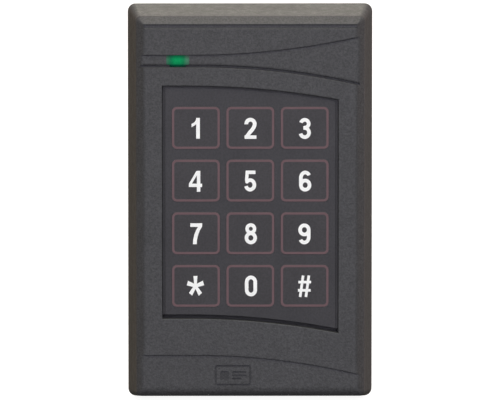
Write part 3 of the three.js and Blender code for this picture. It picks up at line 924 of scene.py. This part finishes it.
def six():
    loop = arc_path(0, -1.30, 1.38, 1.46, 0, 360, 48)
    back = arc_path(0.02, 1.02, 1.40, 1.72, 180, 28)
    stem = [(-1.38, -1.3), (-1.38, 1.02)]
    return union(d_path(loop, W, False, False), d_path(stem + back[1:], W, False, True))


def flip(d):
    return d[::-1, ::-1]


def glyph(name):
    if name == "0":
        pts = arc_path(0, 1.2, 1.38, 1.55, 0, 180) + arc_path(0, -1.2, 1.38, 1.55, 180, 360)
        return d_path(pts + pts[:1], W, False, False)
    if name == "1":
        return union(d_box(-0.05, 1.30, -3.4, 3.4),
                     d_poly([(-1.55, 0.25), (-1.55, 1.45), (-0.95, 1.72), (-0.45, 2.15), (-0.1, 2.75), (0.1, 3.4),
                             (0.6, 3.4), (0.6, 1.0), (-0.05, 1.15), (-0.75, 0.62)]))
    if name == "2":
        top = arc_path(0.0, 1.42, 1.34, 1.36, 186, -22, 34)
        tail = [(1.0, 0.25), (0.45, -0.55), (-0.35, -1.45), (-1.0, -2.35), (-1.15, -2.75)]
        return union(d_path(top + tail, W + 0.02, True, False), d_box(-1.95, 1.95, -3.4, -2.18))
    if name == "3":
        up = arc_path(-0.02, 1.52, 1.26, 1.24, 166, -86, 30)
        lo = arc_path(-0.02, -1.32, 1.36, 1.46, 86, -168, 34)
        return union(d_path(up, W, True, False), d_path(lo, W, False, True), d_box(-0.55, 0.3, -0.42, 0.78))
    if name == "4":
        body = d_poly([(0.35, 3.4), (1.62, 3.4), (1.62, -0.72), (2.2, -0.72), (2.2, -1.88), (1.62, -1.88),
                       (1.62, -3.4), (0.42, -3.4), (0.42, -1.88), (-2.15, -1.88), (-2.15, -0.8)])
        gap = d_poly([(0.42, -0.72), (-1.05, -0.72), (0.42, 1.75)])
        return np.maximum(body, -gap)
    if name == "5":
        bowl = arc_path(0.0, -1.22, 1.36, 1.52, 138, -166, 36)
        return union(d_box(-1.35, 1.75, 2.2, 3.4), d_poly([(-1.45, 3.4), (-0.35, 3.4), (-0.55, 0.35), (-1.72, 0.05)]),
                     d_path(bowl, W, False, True))
    if name == "6":
        return six()
    if name == "7":
        return union(d_box(-1.95, 1.95, 2.16, 3.4),
                     d_poly([(0.62, 2.3), (1.95, 2.3), (1.2, 1.05), (0.62, -0.5), (0.28, -2.0), (0.18, -3.4),
                             (-1.12, -3.4), (-1.0, -1.9), (-0.6, -0.1), (0.0, 1.3)]))
    if name == "8":
        return union(d_path(arc_path(0, 1.58, 1.20, 1.22, 0, 360, 44), W - 0.02, False, False),
                     d_path(arc_path(0, -1.34, 1.38, 1.46, 0, 360, 44), W, False, False))
    if name == "9":
        return flip(six())
    if name == "star":
        arms = []
        for a in (90, 18, 162, -54, -126):
            c, s = math.cos(math.radians(a)), math.sin(math.radians(a))
            arms.append(d_poly([(-0.42 * s, 0.42 * c), (2.85 * c - 0.66 * s, 2.85 * s + 0.66 * c),
                                (2.85 * c + 0.66 * s, 2.85 * s - 0.66 * c), (0.42 * s, -0.42 * c)]))
        return union(*arms) - 0.06
    if name == "hash":
        return union(d_path([(-1.42, -3.35), (-0.42, 3.35)], 0.48), d_path([(0.48, -3.35), (1.48, 3.35)], 0.48),
                     d_box(-2.05, 2.25, 0.82, 1.72), d_box(-2.2, 2.1, -1.72, -0.82))


def contours(d):
    """Closed outlines of d < 0, by marching squares with linear interpolation."""
    step = 0.03
    x0, z0 = GX_[0, 0], GZ_[0, 0]
    seg = {}

    def cut(i, j, horizontal):
        if horizontal:
            a, b = d[j, i], d[j, i + 1]
            return (x0 + step * (i + a / (a - b)), z0 + step * j)
        a, b = d[j, i], d[j + 1, i]
        return (x0 + step * i, z0 + step * (j + a / (a - b)))

    neg = d < 0
    jj, ii = np.nonzero((neg[:-1, :-1] != neg[1:, :-1]) | (neg[:-1, :-1] != neg[:-1, 1:]) | (neg[:-1, :-1] != neg[1:, 1:]))
    for j, i in zip(jj.tolist(), ii.tolist()):
        s = (neg[j, i], neg[j, i + 1], neg[j + 1, i + 1], neg[j + 1, i])
        edges = [("h", i, j), ("v", i + 1, j), ("h", i, j + 1), ("v", i, j)]
        crossing = [k for k in range(4) if s[k] != s[(k + 1) % 4]]
        # walking the cell counter-clockwise, inside on the left: enter where it turns inside
        outs = [k for k in crossing if s[k] and not s[(k + 1) % 4]]
        ins = [k for k in crossing if not s[k] and s[(k + 1) % 4]]
        if len(outs) == 1:
            pairs = [(outs[0], ins[0])]
        else:
            pairs = [(o, (o - 1) % 4) for o in outs]
        for o, n in pairs:
            seg[edges[o]] = edges[n]
    loops = []
    while seg:
        start = next(iter(seg))
        key, keys = start, []
        while key in seg:
            keys.append(key)
            key = seg.pop(key)
        pts = [cut(k[1], k[2], k[0] == "h") for k in keys]
        out = [pts[0]]
        for p in pts[1:]:
            if math.hypot(p[0] - out[-1][0], p[1] - out[-1][1]) > 0.02:
                out.append(p)
        # drop points that lie on a straight run
        slim = []
        n = len(out)
        for k in range(n):
            a, b, c = out[k - 1], out[k], out[(k + 1) % n]
            area = abs((b[0] - a[0]) * (c[1] - a[1]) - (b[1] - a[1]) * (c[0] - a[0]))
            if area > 1e-6 or k % 6 == 0:
                slim.append(b)
        if len(slim) > 8:
            loops.append(slim)
    return loops


KEY_FRONT = 18.13
# The print sits a little off centre from key to key, in mm.
PRINT_SHIFT = {"1": (0.06, -0.12), "2": (0.06, -0.16), "3": (0.03, -0.19), "4": (-0.16, -0.20), "5": (-0.06, -0.14),
               "6": (0.15, -0.15), "7": (0.08, -0.14), "8": (0.15, -0.14), "9": (-0.08, -0.20), "star": (-0.16, -0.06),
               "0": (0.20, -0.03), "hash": (-0.06, -0.12)}
PRINT_SIZE = {"star": (0.90, 1.09), "hash": (0.92, 1.0)}
for name, x, z in CELLS:
    body = f"key_{name}"
    pad = slab(f"key_{name}_pad", [round_rect(7.41, 6.53, 1.60, 8, x, z)], KEY_FRONT, 0.27, 0.04, 2)
    neck = slab("neck", [round_rect(7.25, 6.35, 2.0, 6, x, z)], 17.98, 2.98)
    flange = slab("flange", [round_rect(7.6, 7.0, 0.8, 3, x, z)], 15.2, 0.8, 0.1, 2)
    stem = slab("stem", [round_rect(1.6, 1.6, 1.59, 6, x, z)], 14.6, 2.75, 0.1, 2)
    boolean(pad, neck, "UNION")
    boolean(pad, flange, "UNION")
    boolean(pad, stem, "UNION")
    clean(pad, 2e-5)
    weigh(pad)
    to_metres(pad)
    paint(pad, "key")
    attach(pad, body)
    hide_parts(body)

    line = slab(f"key_{name}_frame_line", [round_rect(7.30, 6.44, 1.50, 8, x, z), round_rect(6.60, 5.74, 0.90, 8, x, z)[::-1]],
                KEY_FRONT + 0.018, 0.03, 0.0)
    to_metres(line)
    paint(line, "red_ink")
    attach(line, body)

    sx, sz = PRINT_SHIFT[name]
    kx, kz = PRINT_SIZE.get(name, (0.95, 0.96))
    shapes = [[(px * kx + x + sx, pz * kz + z + sz) for px, pz in lp]
              for lp in contours(glyph(name) + (0.08 if name == "1" else 0.045))]
    char = slab(f"key_{name}_character", shapes, KEY_FRONT + 0.020, 0.034, 0.0)
    to_metres(char)
    paint(char, "white_ink")
    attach(char, body)


# ------------------------------------------------------------------ snap domes

def lathe(name, profile, place, steps=40):
    """A closed profile of (radius, height) turned about the line through place towards the front."""
    verts, faces, idx = [], [], []
    for r, h in profile:
        if r < 1e-9:
            verts.append((place[0], place[1] - h, place[2]))
            idx.append([len(verts) - 1] * steps)
            continue
        ring = []
        for k in range(steps):
            a = 2 * math.pi * k / steps
            verts.append((place[0] + r * math.cos(a), place[1] - h, place[2] + r * math.sin(a)))
            ring.append(len(verts) - 1)
        idx.append(ring)
    for n in range(len(idx)):
        a, b = idx[n], idx[(n + 1) % len(idx)]
        for k in range(steps):
            q = (k + 1) % steps
            f = []
            for v in (a[k], a[q], b[q], b[k]):
                if v not in f:
                    f.append(v)
            if len(f) > 2:
                faces.append(f)
    ob = mesh_object(name, verts, faces)
    clean(ob, 1e-5)
    shade(ob, 50.0)
    return ob


# Sprung shells that sit under the key stems.
outer = [(3.0 * math.sin(t), 0.90 * (math.cos(t) - math.cos(1.15)) / (1 - math.cos(1.15)))
         for t in np.linspace(0.0, 1.15, 14)]
outer = [(r * 3.0 / outer[-1][0], h) for r, h in outer]
shell = outer[:-1] + [(3.0, 0.03), (3.0, 0.0), (2.82, 0.0)] + [(r * 0.955, max(h - 0.13, 0.0)) for r, h in outer[-3::-1]]
for name, x, z in CELLS:
    dome = lathe(f"snap_dome_{name}", shell, (x, -10.65, z))
    to_metres(dome)
    paint(dome, "dome")
    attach(dome, "base")
    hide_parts(f"dome_{name}")
    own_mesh(dome)


# ------------------------------------------------------------------ carried-over nodes

LOOKS = {
    "base_housing": "base", "wall_gasket": "foam", "cable_grommet": "rubber", "potting_resin": "resin",
    "main_pcb": "laminate", "keypad_pcb": "laminate", "coil_former": "former", "antenna_coil": "coil",
    "keypad_frame": "carrier", "microcontroller": "chip", "reader_chip": "chip", "voltage_regulator": "chip",
    "crystal": "can", "capacitor_1": "can", "capacitor_2": "can", "buzzer": "chip", "status_led": "lens",
    "board_connector": "chip", "cable_connector": "nylon",
}
BEVELS_MM = {
    "base_housing": 0.25, "keypad_frame": 0.12, "coil_former": 0.12, "antenna_coil": 0.25, "main_pcb": 0.08,
    "keypad_pcb": 0.08, "potting_resin": 0.15, "cable_grommet": 0.1, "wall_gasket": 0.15, "buzzer": 0.1,
    "crystal": 0.25, "microcontroller": 0.06, "reader_chip": 0.06, "voltage_regulator": 0.06,
    "cable_connector": 0.1, "board_connector": 0.06,
}
for node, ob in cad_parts.items():
    look = LOOKS.get(node)
    if look is None:
        if node.startswith("dome_"):
            look = "dome"
        elif "screw" in node:
            look = "screw"
        else:
            continue
    ob.data.materials.clear()
    ob.data.materials.append(M[look].m)
    if node in BEVELS_MM:
        b = ob.modifiers.new("soft_edges", "BEVEL")
        b.width, b.segments, b.limit_method = BEVELS_MM[node] * MM, 2, "ANGLE"
        b.angle_limit = math.radians(40)
        b.use_clamp_overlap = True
        b.harden_normals = False


# ------------------------------------------------------------------ stage

def build_floor():
    bm = bmesh.new()
    ring = [bm.verts.new((7.0 * math.cos(a), 7.0 * math.sin(a), -BZ * MM - 0.0001))
            for a in np.linspace(0, 2 * math.pi, 64, endpoint=False)]
    bm.faces.new(ring)
    me = bpy.data.meshes.new("studio_floor")
    bm.to_mesh(me)
    bm.free()
    ob = bpy.data.objects.new("studio_floor", me)
    scene.collection.objects.link(ob)
    m = Mat("floor_paper")
    m.colour(m.ramp(m.noise(900.0), [(0.0, (0.23, 0.23, 0.23)), (1.0, (0.26, 0.26, 0.26))]))
    m.b.inputs["Emission Color"].default_value = (1.0, 1.0, 1.0, 1.0)
    m.set(rough=0.9, glow=0.93)
    me.materials.append(m.m)
    steps, z0 = 96, -BZ * MM - 0.0001
    profile = [(3.90, z0 - 0.0005), (4.15, z0 + 0.03), (4.33, z0 + 0.12), (4.44, z0 + 0.30), (4.48, z0 + 0.60), (4.5, z0 + 2.4)]
    verts = [(r * math.cos(a), r * math.sin(a), z) for r, z in profile
             for a in np.linspace(0, 2 * math.pi, steps, endpoint=False)]
    faces = [(k * steps + i, (k + 1) * steps + i, (k + 1) * steps + (i + 1) % steps, k * steps + (i + 1) % steps)
             for k in range(len(profile) - 1) for i in range(steps)]
    sweep = mesh_object("studio_sweep", verts, faces, 60.0)
    sweep.data.materials.append(m.m)
    sweep.visible_shadow = False
    for part in (ob, sweep):
        part.visible_diffuse = False
        part.visible_glossy = False
        part.visible_transmission = False


build_floor()

AIR, AIR_RGB = 0.119, (0.98, 1.0, 0.845)
# name, place, aim, width, height, power in watts, colour
LIGHTS = (
    ("front_fill", (0.0, -2.55, 0.85), (0, 0, 0), 3.4, 1.4, 54.4, (0.862, 0.842, 1.0)),
    ("front_high", (0.0, -1.30, 1.80), (0, 0, 0), 1.8, 1.2, 30.9, (0.989, 1.0, 0.809)),
    ("overhead_back", (0.0, 0.30, 1.85), (0, 0, 0), 1.8, 0.5, 22.8, (1.0, 0.857, 0.828)),
    ("rear_sheen", (0.0, 1.90, 1.00), (0, 0, 0), 1.8, 0.8, 3.9, (1.0, 0.96, 0.86)),
    ("rear_fill", (0.0, 2.40, 0.55), (0, 0, 0), 0.5, 0.5, 6.7, (1.0, 0.95, 0.78)),
    ("side_left", (-1.75, 0.85, 0.35), (0, 0, 0), 1.0, 1.6, 7.9, (1.0, 0.70, 0.454)),
    ("side_right", (1.78, 0.64, 0.35), (0, 0, 0), 1.0, 1.6, 17.4, (1.0, 0.784, 0.735)),
)

world = bpy.data.worlds.new("studio_air")
scene.world = world
world.use_nodes = True
world.node_tree.nodes["Background"].inputs["Color"].default_value = (*AIR_RGB, 1.0)
world.node_tree.nodes["Background"].inputs["Strength"].default_value = AIR

for name, place, aim, size_x, size_y, power, rgb in LIGHTS:
    li = bpy.data.lights.new(name, "AREA")
    li.shape = "RECTANGLE"
    li.size, li.size_y = size_x, size_y
    li.energy, li.color = power, rgb
    ob = bpy.data.objects.new(name, li)
    scene.collection.objects.link(ob)
    ob.location = place
    d = Vector(aim) - Vector(place)
    ob.rotation_euler = d.to_track_quat("-Z", "Y").to_euler()
    ob.visible_camera = False

cam_data = bpy.data.cameras.new("photo_camera")
cam = bpy.data.objects.new("photo_camera", cam_data)
scene.collection.objects.link(cam)
cam_data.sensor_width = 36.0
cam_data.lens = 632.5
ELEV = math.radians(7.0)
DIST = 2.7
TURN = math.radians(-0.3)
cam.location = (DIST * math.cos(ELEV) * math.sin(TURN), -DIST * math.cos(ELEV) * math.cos(TURN), DIST * math.sin(ELEV))
cam.rotation_euler = (math.pi / 2 - ELEV, 0.0, TURN)
cam_data.shift_y = -0.0006
cam_data.clip_start, cam_data.clip_end = 0.05, 60.0
scene.camera = cam

scene.view_settings.view_transform = "Standard"
scene.view_settings.look = "None"
scene.view_settings.exposure = 0.0
scene.view_settings.gamma = 1.0
